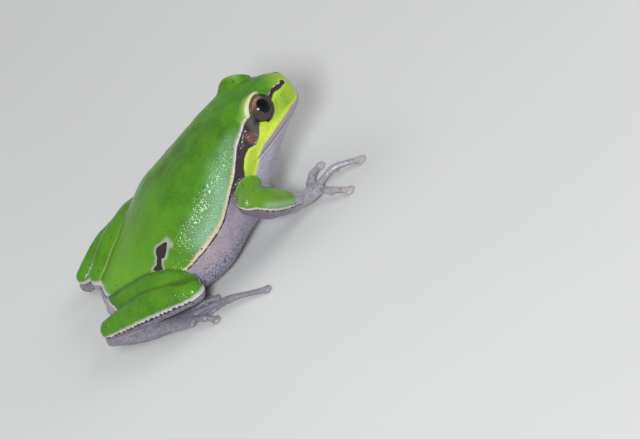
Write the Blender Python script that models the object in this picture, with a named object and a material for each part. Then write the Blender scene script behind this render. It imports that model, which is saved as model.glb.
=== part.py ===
"""Adult tree frog at rest, belly on the floor and head raised, as a still life-size model.

+X points to the snout, +Y to the animal's left and +Z up. Sizes below are in millimetres.
"""

import bmesh
import bpy
import numpy as np
from mathutils import Matrix, Vector

MM = 0.001
GAP = 0.3

# The design frame starts under the vent. These two move it to the middle of the footprint.
CENTRE_X = 19.352
CENTRE_Y = 0.80

# Body sections from rump to snout:
# station, top, underside, half width, height of the widest line, roundness above and below
BODY = (
    (-1.1, 3.1, 2.5, 0.3, 2.8, 2.0, 2.0),
    (-0.7, 4.5, 1.3, 3.0, 2.8, 2.1, 2.1),
    (1.2, 6.4, 0.2, 5.8, 3.1, 2.0, 2.3),
    (4.6, 8.3, -0.2, 8.4, 3.5, 2.0, 2.6),
    (9.2, 11.1, -0.3, 10.2, 3.8, 2.12, 2.7),
    (14.0, 13.75, -0.3, 11.1, 4.1, 2.38, 2.7),
    (19.0, 15.5, -0.1, 10.6, 5.0, 2.4, 2.45),
    (23.5, 17.1, 1.1, 9.0, 7.6, 2.4, 2.15),
    (27.2, 18.2, 2.2, 7.8, 10.6, 2.4, 2.3),
    (30.6, 18.8, 4.6, 7.4, 12.8, 2.5, 2.2),
    (33.6, 18.9, 8.2, 6.8, 13.6, 2.4, 2.2),
    (36.5, 18.35, 10.4, 5.4, 14.0, 2.3, 2.2),
    (38.9, 17.7, 11.6, 3.65, 14.2, 2.3, 2.2),
    (40.2, 16.8, 12.5, 2.15, 14.5, 2.2, 2.1),
    (40.6, 15.2, 14.5, 0.3, 14.8, 2.0, 2.0),
)
BODY_AROUND = 32
BODY_ALONG = 36

# Side view lines, as length and height: the neck line and the closed mouth
NECK_TOP = (28.9, 24.0)
JAW_JOINT = (29.2, 12.4)
MOUTH = ((31.4, 12.6), (35.2, 13.1), (38.2, 13.15), (42.0, 13.0))
CHEST = (25.4, -4.0)
LIP_STEP = 0.3

EYE = (34.8, 3.1, 16.58)
EYE_RADIUS = 2.18
SOCKET_RADIUS = 2.4
LID = (34.3, 3.2, 16.6)
LID_SIZES = (3.1, 2.9, 2.85)
# The left eye and its lids sit a little further back and out
LEFT_EYE_SHIFT = (-1.0, 0.95, 0.35)
LID_OPENING = 1.92
EYE_AXIS = (0.36, 0.86, 0.33)

NOSTRIL = (39.6, 1.4, 16.85)
NOSTRIL_RADIUS = 0.33

EARDRUM = (31.8, 6.85, 15.6)
EARDRUM_RADIUS = 1.0
EARDRUM_AXIS = (-0.05, 0.93, 0.36)

# Limb paths: x, y, z, half width, half thickness. The right side is the one with y below zero.
UPPER_ARM_R = ((27.9, -4.8, 9.5, 1.8, 1.8), (27.0, -7.9, 9.85, 1.65, 1.65), (26.0, -10.4, 9.5, 1.7, 1.7))
FOREARM_R = (
    (26.2, -10.2, 8.7, 1.8, 1.8),
    (27.7, -9.3, 6.9, 2.3, 2.3),
    (29.8, -7.9, 4.4, 2.05, 1.95),
    (31.4, -6.9, 2.5, 1.5, 1.4),
)
PALM_R = ((31.2, -7.0, 2.3, 1.1, 1.1), (32.6, -6.0, 1.5, 1.5, 1.0), (34.4, -4.9, 0.9, 1.6, 0.8))
FINGERS_R = (
    ((33.2, -4.5, 0.85), (33.8, -2.7, 0.9), (34.4, -1.1, 0.36)),
    ((33.9, -4.2, 0.9), (34.8, -1.4, 1.1), (36.3, 0.3, 0.36)),
    ((34.6, -4.6, 0.9), (38.1, -3.4, 1.1), (42.0, -4.6, 0.36)),
    ((34.4, -5.6, 0.9), (35.9, -7.6, 1.1), (38.3, -9.3, 0.36)),
)
UPPER_ARM_L = ((28.0, 4.8, 9.4, 1.95, 1.95), (26.6, 8.0, 9.0, 1.8, 1.8), (25.0, 10.2, 8.2, 1.7, 1.7))
FOREARM_L = (
    (25.0, 10.3, 7.25, 1.78, 1.78),
    (26.1, 10.2, 5.9, 2.3, 2.2),
    (27.6, 9.9, 4.0, 1.95, 1.85),
    (28.9, 9.8, 2.3, 1.45, 1.35),
)
PALM_L = ((28.8, 9.8, 2.2, 1.1, 1.1), (29.4, 10.4, 1.5, 1.5, 1.0), (29.9, 11.3, 0.9, 1.6, 0.8))
FINGERS_L = (
    ((30.6, 10.9, 0.9), (31.2, 11.7, 0.9), (31.8, 12.5, 0.36)),
    ((30.5, 11.5, 0.9), (31.4, 13.3, 1.1), (31.9, 15.4, 0.36)),
    ((29.9, 11.9, 0.9), (29.6, 15.2, 1.1), (29.6, 18.6, 0.36)),
    ((29.2, 11.5, 0.9), (27.6, 13.2, 1.1), (26.2, 15.4, 0.36)),
)
FINGER_RADII = (0.58, 0.49)
FINGER_DISC = 0.82
PAD_THICKNESS = 0.42

THIGH_R = (
    (0.9, -3.6, 3.7, 1.9, 1.9),
    (4.6, -6.2, 4.5, 2.4, 2.5),
    (8.8, -9.7, 5.75, 2.4, 2.45),
    (12.1, -12.8, 5.3, 1.8, 1.85),
)
SHANK_R = (
    (12.1, -14.1, 5.1, 1.9, 1.9),
    (9.1, -12.8, 5.2, 2.2, 2.2),
    (4.6, -10.6, 4.9, 2.4, 2.3),
    (-1.6, -7.3, 3.5, 1.6, 1.6),
)
TARSUS_R = ((-2.4, -7.3, 1.8, 1.15, 1.15), (1.6, -9.8, 1.25, 1.25, 1.2), (5.9, -11.6, 1.0, 1.5, 1.1))
SOLE_R = ((5.9, -11.6, 0.95, 1.3, 1.0), (7.8, -12.3, 0.85, 1.7, 0.9), (9.6, -12.9, 0.75, 2.0, 0.8))
TOES_R = (
    ((8.9, -11.1, 0.9), (9.9, -10.7, 0.8), (11.0, -10.3, 0.36)),
    ((9.4, -11.5, 0.9), (11.0, -11.0, 0.9), (12.7, -10.9, 0.36)),
    ((9.9, -12.0, 0.9), (11.9, -12.0, 1.0), (13.8, -12.1, 0.36)),
    ((10.2, -12.9, 0.9), (15.4, -14.9, 1.0), (21.0, -17.6, 0.36)),
    ((9.6, -13.8, 0.9), (10.9, -15.0, 1.0), (12.4, -16.4, 0.36)),
)
THIGH_L = (
    (1.2, 3.0, 5.0, 2.4, 2.4),
    (5.0, 5.3, 6.4, 2.7, 2.8),
    (9.0, 8.3, 6.9, 2.4, 2.5),
    (12.1, 11.1, 5.8, 1.9, 1.9),
)
SHANK_L = (
    (12.2, 12.0, 4.8, 1.9, 1.9),
    (7.8, 11.6, 4.8, 2.0, 2.0),
    (2.6, 10.7, 4.3, 1.9, 1.85),
    (-2.3, 9.0, 3.0, 1.5, 1.4),
)
TARSUS_L = ((-2.8, 9.3, 1.5, 1.3, 1.3), (1.4, 11.6, 1.15, 1.3, 1.2), (5.7, 13.0, 1.0, 1.5, 1.1))
SOLE_L = ((5.7, 13.0, 0.95, 1.3, 1.0), (7.6, 13.5, 0.85, 1.7, 0.9), (9.4, 14.0, 0.75, 2.0, 0.8))
TOES_L = (
    ((9.1, 12.6, 0.9), (11.0, 12.4, 0.8), (12.7, 12.3, 0.36)),
    ((9.8, 13.1, 0.9), (12.8, 13.0, 1.0), (15.8, 13.8, 0.36)),
    ((10.1, 13.7, 0.9), (14.4, 14.4, 1.0), (18.5, 16.2, 0.36)),
    ((10.0, 14.4, 0.9), (15.4, 16.6, 1.0), (20.6, 19.2, 0.36)),
    ((9.4, 15.2, 0.9), (11.2, 16.9, 1.0), (13.4, 19.2, 0.36)),
)
TOE_RADII = (0.56, 0.46)
TOE_DISC = 0.7
WEB_REACH = 0.55
WEB_THICKNESS = 0.55

SKIN = {
    "leaf_green": ((0.14, 0.42, 0.04, 1.0), 0.32),
    "throat_cream": ((0.62, 0.58, 0.55, 1.0), 0.45),
    "limb_green": ((0.17, 0.45, 0.05, 1.0), 0.32),
    "grey_lilac": ((0.30, 0.24, 0.22, 1.0), 0.4),
    "eardrum_brown": ((0.13, 0.06, 0.03, 1.0), 0.45),
    "eye_bronze": ((0.09, 0.045, 0.02, 1.0), 0.12),
}


def clear_scene():
    for obj in list(bpy.data.objects):
        bpy.data.objects.remove(obj, do_unlink=True)


def flowing(rows, positions):
    """Values at fractional row numbers, along a smooth curve through every row."""
    rows = np.asarray(rows, float)
    before = np.vstack([2 * rows[0] - rows[1], rows, 2 * rows[-1] - rows[-2]])
    index = np.minimum(np.floor(positions).astype(int), len(rows) - 2)
    t = (positions - index)[:, None]
    a, b, c, d = (before[index + k] for k in range(4))
    return b + 0.5 * t * (c - a + t * (2 * a - 5 * b + 4 * c - d + t * (3 * (b - c) + d - a)))


def add_mesh(name, points, faces):
    mesh = bpy.data.meshes.new(name)
    mesh.from_pydata([tuple(p) for p in points * MM], [], faces)
    mesh.update()
    obj = bpy.data.objects.new(name, mesh)
    bpy.context.scene.collection.objects.link(obj)
    edit = bmesh.new()
    edit.from_mesh(mesh)
    bmesh.ops.recalc_face_normals(edit, faces=edit.faces)
    edit.to_mesh(mesh)
    edit.free()
    return obj


def loft(name, rings):
    """A closed solid through rings of equal size, with a point at each end."""
    count = len(rings[0])
    ends = [rings[0].mean(axis=0), rings[-1].mean(axis=0)]
    points = np.vstack([*rings, ends])
    faces = []
    for i in range(count):
        j = (i + 1) % count
        for r in range(len(rings) - 1):
            faces.append((r * count + i, r * count + j, (r + 1) * count + j, (r + 1) * count + i))
        faces.append((j, i, len(points) - 2))
        last = (len(rings) - 1) * count
        faces.append((last + i, last + j, len(points) - 1))
    return add_mesh(name, points, faces)


def body(name, grow=0.0):
    """The head and trunk as one form. `grow` moves its skin outwards."""
    steps = np.linspace(0, len(BODY) - 1, BODY_ALONG)
    angles = np.linspace(0, 2 * np.pi, BODY_AROUND, endpoint=False) + np.pi / BODY_AROUND
    across, up = np.cos(angles), np.sin(angles)
    rings = []
    for x, top, low, wide, middle, above, below in flowing(BODY, steps):
        power = np.where(up > 0, 2 / above, 2 / below)
        rise = np.maximum(np.where(up > 0, top - middle, middle - low) + grow, 0.05)
        ring = np.empty((BODY_AROUND, 3))
        ring[:, 0] = x
        ring[:, 1] = max(wide + grow, 0.05) * np.sign(across) * np.abs(across) ** power
        ring[:, 2] = middle + rise * np.sign(up) * np.abs(up) ** power
        rings.append(ring)
    rings[0][:, 0] -= grow
    rings[-1][:, 0] += grow
    return loft(name, rings)


def limb(name, rows, grow=0.0, around=11, along=3):
    """A soft tube along a path, with rounded ends."""
    rows = np.asarray(rows, float)
    steps = np.linspace(0, len(rows) - 1, (len(rows) - 1) * along + 1)
    path = flowing(rows, steps)
    centre, size = path[:, :3], path[:, 3:] + grow
    heading = np.gradient(centre, axis=0)
    heading /= np.linalg.norm(heading, axis=1)[:, None]
    side = np.cross(heading, (0.0, 0.0, 1.0))
    side /= np.linalg.norm(side, axis=1)[:, None]
    over = np.cross(side, heading)
    angles = np.linspace(0, 2 * np.pi, around, endpoint=False)
    rings = []

    def ring(k, shrink, shift):
        middle = centre[k] + heading[k] * shift
        return (
            middle
            + np.outer(np.cos(angles), side[k]) * size[k, 0] * shrink
            + np.outer(np.sin(angles), over[k]) * size[k, 1] * shrink
        )

    tilts = np.radians((75, 50, 25))
    for tilt in tilts:
        rings.append(ring(0, np.cos(tilt), -np.sin(tilt) * size[0].min()))
    for k in range(len(path)):
        rings.append(ring(k, 1.0, 0.0))
    for tilt in tilts[::-1]:
        rings.append(ring(len(path) - 1, np.cos(tilt), np.sin(tilt) * size[-1].min()))
    return loft(name, rings)


def ball(name, centre, sizes, turn=None, segments=24, rings=12):
    """A ball with its own half sizes, `turn` being the direction of its local Z."""
    edit = bmesh.new()
    bmesh.ops.create_uvsphere(edit, u_segments=segments, v_segments=rings, radius=1.0)
    bmesh.ops.scale(edit, vec=Vector(sizes) * MM, verts=edit.verts)
    return placed(name, edit, centre, turn)


def rod(name, centre, radius, low, high, turn, segments=20):
    """A cylinder from `low` to `high` along `turn`."""
    edit = bmesh.new()
    bmesh.ops.create_cone(
        edit, cap_ends=True, segments=segments, radius1=radius * MM, radius2=radius * MM, depth=(high - low) * MM
    )
    bmesh.ops.translate(edit, vec=(0, 0, (high + low) / 2 * MM), verts=edit.verts)
    return placed(name, edit, centre, turn)


def placed(name, edit, centre, turn):
    spin = Matrix.Identity(4) if turn is None else Vector(turn).to_track_quat("Z", "Y").to_matrix().to_4x4()
    bmesh.ops.transform(edit, matrix=Matrix.Translation(Vector(centre) * MM) @ spin, verts=edit.verts)
    mesh = bpy.data.meshes.new(name)
    edit.to_mesh(mesh)
    edit.free()
    obj = bpy.data.objects.new(name, mesh)
    bpy.context.scene.collection.objects.link(obj)
    return obj


def prism(name, outline, low, high, upright=False):
    """An outline pushed from `low` to `high`: along Y, or along Z when `upright`."""
    count = len(outline)
    points = []
    for depth in (low, high):
        points.extend((a, b, depth) if upright else (a, depth, b) for a, b in outline)
    faces = [tuple(range(count)), tuple(range(2 * count - 1, count - 1, -1))]
    faces.extend((i, (i + 1) % count, count + (i + 1) % count, count + i) for i in range(count))
    return add_mesh(name, np.array(points), faces)


def drop(objects):
    for obj in objects:
        bpy.data.objects.remove(obj, do_unlink=True)


def apply(obj, modifier):
    bpy.context.view_layer.objects.active = obj
    bpy.ops.object.modifier_apply(modifier=modifier.name)


def combine(obj, tool, operation, solver):
    modifier = obj.modifiers.new(operation, "BOOLEAN")
    modifier.operation = operation
    modifier.solver = solver
    modifier.object = tool
    apply(obj, modifier)


def cut(obj, *tools):
    """Takes the tools away. Their facets nearly match the object's, where EXACT leaves edges open."""
    for tool in tools:
        combine(obj, tool, "DIFFERENCE", "MANIFOLD")
    drop(tools)
    return obj


def keep(obj, *tools):
    for tool in tools:
        combine(obj, tool, "INTERSECT", "EXACT")
    drop(tools)
    return obj


def unite(obj, pieces):
    """Joins the pieces to the object with one union."""
    group = bpy.data.collections.new("joined")
    bpy.context.scene.collection.children.link(group)
    for piece in pieces:
        bpy.context.scene.collection.objects.unlink(piece)
        group.objects.link(piece)
    modifier = obj.modifiers.new("union", "BOOLEAN")
    modifier.operation = "UNION"
    modifier.operand_type = "COLLECTION"
    modifier.solver = "EXACT"
    modifier.collection = group
    apply(obj, modifier)
    drop(pieces)
    bpy.data.collections.remove(group)
    return obj


def tidy(obj):
    """Welds the seams left by the cuts and keeps the largest closed surface."""
    edit = bmesh.new()
    edit.from_mesh(obj.data)
    bmesh.ops.remove_doubles(edit, verts=edit.verts, dist=0.002 * MM)
    bmesh.ops.dissolve_degenerate(edit, edges=edit.edges, dist=0.002 * MM)
    bmesh.ops.triangulate(edit, faces=edit.faces)
    left, shells = set(edit.faces), []
    while left:
        shell, front = set(), [left.pop()]
        while front:
            face = front.pop()
            shell.add(face)
            near = {other for edge in face.edges for other in edge.link_faces} & left
            left -= near
            front.extend(near)
        shells.append(shell)
    shells.sort(key=lambda shell: sum(face.calc_area() for face in shell))
    spare = [face for shell in shells[:-1] for face in shell]
    bmesh.ops.delete(edit, geom=spare, context="FACES")
    edit.to_mesh(obj.data)
    edit.free()


def eye_point(point, side):
    """A point of the right eye mirrored to its side. The left eye's is shifted as well."""
    shift = LEFT_EYE_SHIFT if side > 0 else (0, 0, 0)
    return tuple(a + b for a, b in zip(mirrored(point, side), shift))


def mirrored(point, side):
    return (point[0], point[1] * side, point[2])


def floor_block():
    return prism("floor", ((-60, -9), (90, -9), (90, 0), (-60, 0)), -60, 60)


def mouth_line(shift):
    """The closed mouth, from the jaw joint to past the snout, raised by `shift`."""
    return [(x, z + shift) for x, z in (JAW_JOINT, *MOUTH)]


def head_region():
    return [NECK_TOP, *mouth_line(GAP / 2), (48.0, MOUTH[-1][1]), (48.0, 24.0)]


def jaw_region():
    return [CHEST, *mouth_line(-GAP / 2), (48.0, MOUTH[-1][1] - GAP), (48.0, -4.0)]


def trunk_region():
    back = GAP
    return [
        (-9.0, 24.0),
        (-9.0, -4.0),
        (CHEST[0] - back, CHEST[1]),
        (JAW_JOINT[0] - back, JAW_JOINT[1]),
        (NECK_TOP[0] - back, NECK_TOP[1]),
    ]


def make_head():
    head = keep(body("head"), prism("region", head_region(), -20, 20))
    lids = [ball("lid", eye_point(LID, side), LID_SIZES, segments=20, rings=12) for side in (-1, 1)]
    unite(head, lids)
    for side in (-1, 1):
        axis = mirrored(EYE_AXIS, side)
        cut(head, ball("socket", eye_point(EYE, side), (SOCKET_RADIUS,) * 3, turn=axis, segments=20, rings=12))
        cut(head, rod("opening", eye_point(EYE, side), LID_OPENING, 0.4, 5.0, axis))
        cut(head, ball("nostril", mirrored(NOSTRIL, side), (NOSTRIL_RADIUS,) * 3, segments=10, rings=6))
        recess = rod("recess", mirrored(EARDRUM, side), EARDRUM_RADIUS + GAP * 0.8, -2.6, 2.0, mirrored(EARDRUM_AXIS, side))
        cut(head, cut(recess, body("core", -1.1)))
    cut(head, prism("under", jaw_region(), -20, 20))
    return head


def make_eardrum(name, side):
    drum = rod(name, mirrored(EARDRUM, side), EARDRUM_RADIUS, -2.4, 2.0, mirrored(EARDRUM_AXIS, side))
    keep(drum, body("outer", -0.12))
    return cut(drum, body("inner", -0.8))


def make_eye(name, side):
    return ball(name, eye_point(EYE, side), (EYE_RADIUS,) * 3, turn=mirrored(EYE_AXIS, side), segments=18, rings=10)


def digit(name, points, radii, disc, grow):
    """A finger or toe with a round disc at its tip."""
    rows = [(*point, size, size) for point, size in zip(points, (radii[0], sum(radii) / 2, radii[1]))]
    tube = limb(name, rows, grow, around=6, along=2)
    pad = ball(name, points[-1], (disc + grow, disc + grow, PAD_THICKNESS + grow), segments=8, rings=5)
    return [tube, pad]


def hand(name, palm, fingers, grow=0.0):
    pieces = []
    for points in fingers:
        pieces.extend(digit("finger", points, FINGER_RADII, FINGER_DISC, grow))
    return unite(limb(name, palm, grow, around=10), pieces)


def web(first, second):
    """The skin stretched between two toes."""
    outline = [first[0][:2], second[0][:2]]
    for points in (second, first):
        along = np.array([points[0], points[1], points[2]])
        reach = flowing(along, np.array([2 * WEB_REACH]))[0]
        outline.append(tuple(reach[:2]))
    middle = (np.array(outline[2]) + outline[3]) / 2 * 0.8 + (np.array(outline[0]) + outline[1]) / 2 * 0.2
    outline.insert(3, tuple(middle))
    return prism("web", outline, 0.15, 0.15 + WEB_THICKNESS, upright=True)


def foot(name, sole, toes, grow=0.0):
    pieces = []
    for points in toes:
        pieces.extend(digit("toe", points, TOE_RADII, TOE_DISC, grow))
    for first, second in zip(toes, toes[1:]):
        pieces.append(web(first, second))
    return unite(limb(name, sole, grow, around=10), pieces)


def make_arm(side, upper_rows, fore_rows, palm_rows, fingers):
    upper = limb("upper_arm_" + side, upper_rows)
    cut(upper, body("beside", GAP), prism("beside", jaw_region(), -3.2, 3.2))
    fore = limb("forearm_" + side, fore_rows)
    cut(fore, limb("beside", upper_rows, GAP), body("beside", GAP))
    palm = hand("hand_" + side, palm_rows, fingers)
    cut(palm, limb("beside", fore_rows, GAP), body("beside", GAP))
    return [upper, fore, palm]


def make_leg(side, thigh_rows, shank_rows, tarsus_rows, sole_rows, toes):
    thigh = cut(limb("thigh_" + side, thigh_rows, along=3), body("beside", GAP))
    shank = cut(limb("shank_" + side, shank_rows, along=3), limb("beside", thigh_rows, GAP), body("beside", GAP))
    tarsus = limb("tarsus_" + side, tarsus_rows, along=3)
    cut(tarsus, limb("beside", shank_rows, GAP), limb("beside", thigh_rows, GAP), body("beside", GAP))
    sole = foot("foot_" + side, sole_rows, toes)
    cut(
        sole,
        limb("beside", tarsus_rows, GAP),
        limb("beside", shank_rows, GAP),
        limb("beside", thigh_rows, GAP),
        body("beside", GAP),
    )
    return [thigh, shank, tarsus, sole]


def paint(obj, skin):
    colour, roughness = SKIN[skin]
    material = bpy.data.materials.new(obj.name)
    material.use_nodes = True
    shader = material.node_tree.nodes["Principled BSDF"]
    shader.inputs["Base Color"].default_value = colour
    shader.inputs["Roughness"].default_value = roughness
    shader.inputs["Metallic"].default_value = 0.0
    obj.data.materials.clear()
    obj.data.materials.append(material)


def main():
    clear_scene()
    parts = {}
    parts["head"] = (make_head(), "leaf_green")
    parts["lower_jaw"] = (keep(body("lower_jaw", -LIP_STEP), prism("region", jaw_region(), -20, 20)), "throat_cream")
    parts["trunk"] = (keep(body("trunk"), prism("region", trunk_region(), -20, 20)), "leaf_green")
    for label, side in (("right", -1), ("left", 1)):
        parts["eye_" + label] = (make_eye("eye_" + label, side), "eye_bronze")
        parts["eardrum_" + label] = (make_eardrum("eardrum_" + label, side), "eardrum_brown")
    arms = make_arm("right", UPPER_ARM_R, FOREARM_R, PALM_R, FINGERS_R)
    arms += make_arm("left", UPPER_ARM_L, FOREARM_L, PALM_L, FINGERS_L)
    legs = make_leg("right", THIGH_R, SHANK_R, TARSUS_R, SOLE_R, TOES_R)
    legs += make_leg("left", THIGH_L, SHANK_L, TARSUS_L, SOLE_L, TOES_L)
    for obj in arms + legs:
        low = obj.name.split("_")[0] in ("hand", "foot", "tarsus")
        parts[obj.name] = (obj, "grey_lilac" if low else "limb_green")
    for name, (obj, skin) in parts.items():
        if min(v.co.z for v in obj.data.vertices) < 0:
            cut(obj, floor_block())
        tidy(obj)
        obj.name = name
        obj.data.transform(Matrix.Translation((-CENTRE_X * MM, -CENTRE_Y * MM, 0)))
        paint(obj, skin)


main()
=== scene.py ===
from functools import partial

import bmesh
import bpy
import numpy as np
from mathutils import Matrix


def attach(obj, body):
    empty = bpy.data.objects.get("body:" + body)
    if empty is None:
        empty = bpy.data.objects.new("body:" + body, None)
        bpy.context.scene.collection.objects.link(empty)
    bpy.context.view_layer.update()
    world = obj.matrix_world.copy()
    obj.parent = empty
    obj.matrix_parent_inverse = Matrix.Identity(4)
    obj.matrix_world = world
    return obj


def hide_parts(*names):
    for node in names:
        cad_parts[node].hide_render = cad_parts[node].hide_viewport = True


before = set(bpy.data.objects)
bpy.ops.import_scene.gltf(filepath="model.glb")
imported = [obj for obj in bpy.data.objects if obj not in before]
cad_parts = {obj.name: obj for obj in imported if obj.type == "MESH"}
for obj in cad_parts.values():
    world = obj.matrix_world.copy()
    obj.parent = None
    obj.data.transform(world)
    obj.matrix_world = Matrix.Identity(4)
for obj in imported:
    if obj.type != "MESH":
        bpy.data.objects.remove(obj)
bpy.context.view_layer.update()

mm = 0.001
# All forms are worked out in millimetres from a point under the vent, which lies here in the frame
ventInFrame = np.array([-19.352, -0.80, 0.0])


# Forms in plain numbers

# Sections from rump to snout: station, top, underside, half width, height of the widest line, and the roundness
# above and below
bodyRows = np.array([
    (-1.1, 3.1, 2.5, 0.3, 2.8, 2.0, 2.0),
    (-0.7, 4.5, 1.3, 3.0, 2.8, 2.1, 2.1),
    (1.2, 6.4, 0.2, 5.8, 3.1, 2.0, 2.3),
    (4.6, 8.3, -0.1, 8.4, 3.5, 2.0, 2.6),
    (9.2, 11.1, -0.1, 10.2, 3.8, 2.12, 2.7),
    (14.0, 13.75, -0.1, 11.1, 4.1, 2.38, 2.7),
    (19.0, 15.5, 0.0, 10.6, 5.0, 2.4, 2.45),
    (23.5, 17.1, 1.1, 9.0, 7.6, 2.4, 2.15),
    (27.2, 18.2, 2.2, 7.8, 10.6, 2.4, 2.3),
    (30.6, 18.8, 4.6, 7.4, 12.8, 2.5, 2.2),
    (33.6, 18.9, 8.2, 6.8, 13.6, 2.4, 2.2),
    (36.5, 18.35, 10.4, 5.4, 14.0, 2.3, 2.2),
    (38.9, 17.7, 11.6, 3.65, 14.2, 2.3, 2.2),
    (40.2, 16.8, 12.5, 2.15, 14.5, 2.2, 2.1),
    (40.6, 15.2, 14.5, 0.3, 14.8, 2.0, 2.0),
])

# Limb paths: x, y, z, half width, half thickness. Right is the side with y below zero
limbRows = {
    "upperArmRight": ((28.4, -5.0, 9.9, 1.75, 1.75), (27.1, -7.9, 9.9, 1.6, 1.6), (26.0, -10.4, 9.5, 1.7, 1.7)),
    "forearmRight": (
        (25.9, -10.4, 9.3, 1.75, 1.75), (27.7, -9.3, 6.9, 2.3, 2.3), (29.8, -7.9, 4.4, 2.05, 1.95),
        (31.4, -6.9, 2.5, 1.5, 1.4),
    ),
    "upperArmLeft": ((28.0, 4.8, 9.4, 1.9, 1.9), (26.6, 8.0, 9.0, 1.75, 1.75), (25.0, 10.2, 8.2, 1.7, 1.7)),
    "forearmLeft": (
        (24.8, 10.3, 8.0, 1.75, 1.75), (26.1, 10.2, 5.9, 2.3, 2.2), (27.6, 9.9, 4.0, 1.95, 1.85),
        (28.9, 9.8, 2.3, 1.45, 1.35),
    ),
    "thighRight": (
        (0.9, -3.6, 3.7, 1.9, 1.9), (4.6, -6.2, 4.5, 2.4, 2.5), (8.8, -9.7, 5.75, 2.4, 2.45),
        (12.1, -12.8, 5.3, 1.8, 1.85),
    ),
    "shankRight": (
        (12.1, -14.1, 5.1, 1.9, 1.9), (9.1, -12.8, 5.2, 2.2, 2.2), (4.6, -10.6, 4.9, 2.4, 2.3),
        (-1.6, -7.3, 3.5, 1.6, 1.6),
    ),
    "tarsusRight": ((-2.4, -7.3, 1.9, 1.1, 1.15), (1.6, -9.8, 1.35, 1.25, 1.1), (5.9, -11.6, 1.1, 1.5, 1.05)),
    "thighLeft": (
        (1.2, 3.0, 5.0, 2.4, 2.4), (5.0, 5.3, 6.4, 2.7, 2.8), (9.0, 8.3, 6.9, 2.4, 2.5),
        (12.1, 11.1, 5.8, 1.9, 1.9),
    ),
    "shankLeft": (
        (12.2, 12.0, 4.8, 1.9, 1.9), (7.8, 11.6, 4.8, 2.0, 2.0), (2.6, 10.7, 4.3, 1.9, 1.85),
        (-2.3, 9.0, 3.0, 1.5, 1.4),
    ),
    "tarsusLeft": ((-2.8, 9.3, 1.6, 1.3, 1.3), (1.4, 11.6, 1.25, 1.3, 1.15), (5.7, 13.0, 1.1, 1.5, 1.05)),
}

handRows = {
    "Right": {
        "palm": ((30.9, -7.1, 2.8, 1.2, 1.2), (32.6, -6.0, 1.5, 1.5, 1.0), (34.4, -4.9, 0.9, 1.6, 0.8)),
        "digits": (
            ((33.2, -4.5, 0.85), (33.8, -2.7, 0.9), (34.4, -1.1, 0.36)),
            ((33.9, -4.2, 0.9), (34.8, -1.4, 1.1), (36.3, 0.3, 0.36)),
            ((34.6, -4.6, 0.9), (38.1, -3.4, 1.1), (42.0, -4.6, 0.36)),
            ((34.4, -5.6, 0.9), (35.9, -7.6, 1.1), (38.3, -9.3, 0.36)),
        ),
    },
    "Left": {
        "palm": ((28.5, 9.8, 2.6, 1.2, 1.2), (29.4, 10.4, 1.5, 1.5, 1.0), (29.9, 11.3, 0.9, 1.6, 0.8)),
        "digits": (
            ((30.6, 10.9, 0.9), (31.2, 11.7, 0.9), (31.8, 12.5, 0.36)),
            ((30.5, 11.5, 0.9), (31.4, 13.3, 1.1), (31.9, 15.4, 0.36)),
            ((29.9, 11.9, 0.9), (29.6, 15.2, 1.1), (29.6, 18.6, 0.36)),
            ((29.2, 11.5, 0.9), (27.6, 13.2, 1.1), (26.2, 15.4, 0.36)),
        ),
    },
}

footRows = {
    "Right": {
        "palm": ((5.2, -11.3, 1.1, 1.2, 0.95), (7.8, -12.3, 0.85, 1.7, 0.85), (9.6, -12.9, 0.75, 2.0, 0.75)),
        "digits": (
            ((8.9, -11.1, 0.9), (9.9, -10.7, 0.8), (11.0, -10.3, 0.36)),
            ((9.4, -11.5, 0.9), (11.0, -11.0, 0.9), (12.7, -10.9, 0.36)),
            ((9.9, -12.0, 0.9), (11.9, -12.0, 1.0), (13.8, -12.1, 0.36)),
            ((10.2, -12.9, 0.9), (15.4, -14.9, 1.0), (21.0, -17.6, 0.36)),
            ((9.6, -13.8, 0.9), (10.9, -15.0, 1.0), (12.4, -16.4, 0.36)),
        ),
    },
    "Left": {
        "palm": ((5.0, 12.8, 1.1, 1.2, 0.95), (7.6, 13.5, 0.85, 1.7, 0.85), (9.4, 14.0, 0.75, 2.0, 0.75)),
        "digits": (
            ((9.1, 12.6, 0.9), (11.0, 12.4, 0.8), (12.7, 12.3, 0.36)),
            ((9.8, 13.1, 0.9), (12.8, 13.0, 1.0), (15.8, 13.8, 0.36)),
            ((10.1, 13.7, 0.9), (14.4, 14.4, 1.0), (18.5, 16.2, 0.36)),
            ((10.0, 14.4, 0.9), (15.4, 16.6, 1.0), (20.6, 19.2, 0.36)),
            ((9.4, 15.2, 0.9), (11.2, 16.9, 1.0), (13.4, 19.2, 0.36)),
        ),
    },
}

eyeSizes = {
    "centre": (34.8, 3.1, 16.58),
    "leftShift": (-1.0, 0.95, 0.35),
    "leftSunk": 0.33,
    "radius": 2.2,
    "cornea": 0.1,
    "opening": (2.08, 1.72),
    "ringAxis": (0.36, 0.86, 0.33),
    "longWay": (0.469, -0.528, 0.706),
    "gaze": (0.517, 0.745, 0.477),
    "lid": (34.1, 3.2, 16.6),
    "lidSizes": (2.8, 2.75, 2.75),
    "bead": 0.15,
    "beadLift": (0.11, 0.02),  # right, left
}

headSizes = {
    "mouth": ((28.5, 12.0), (31.4, 12.6), (33.0, 12.95), (35.2, 13.12), (36.9, 13.2), (38.5, 13.15), (42.0, 13.0)),
    "lipGroove": 0.26,
    "jawStep": 0.3,
    "nostril": (39.65, 1.4, 16.9),
    "nostrilPit": 0.36,
    "drum": (31.8, 6.8, 15.6),
    "drumRadius": 0.9,
}


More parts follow.
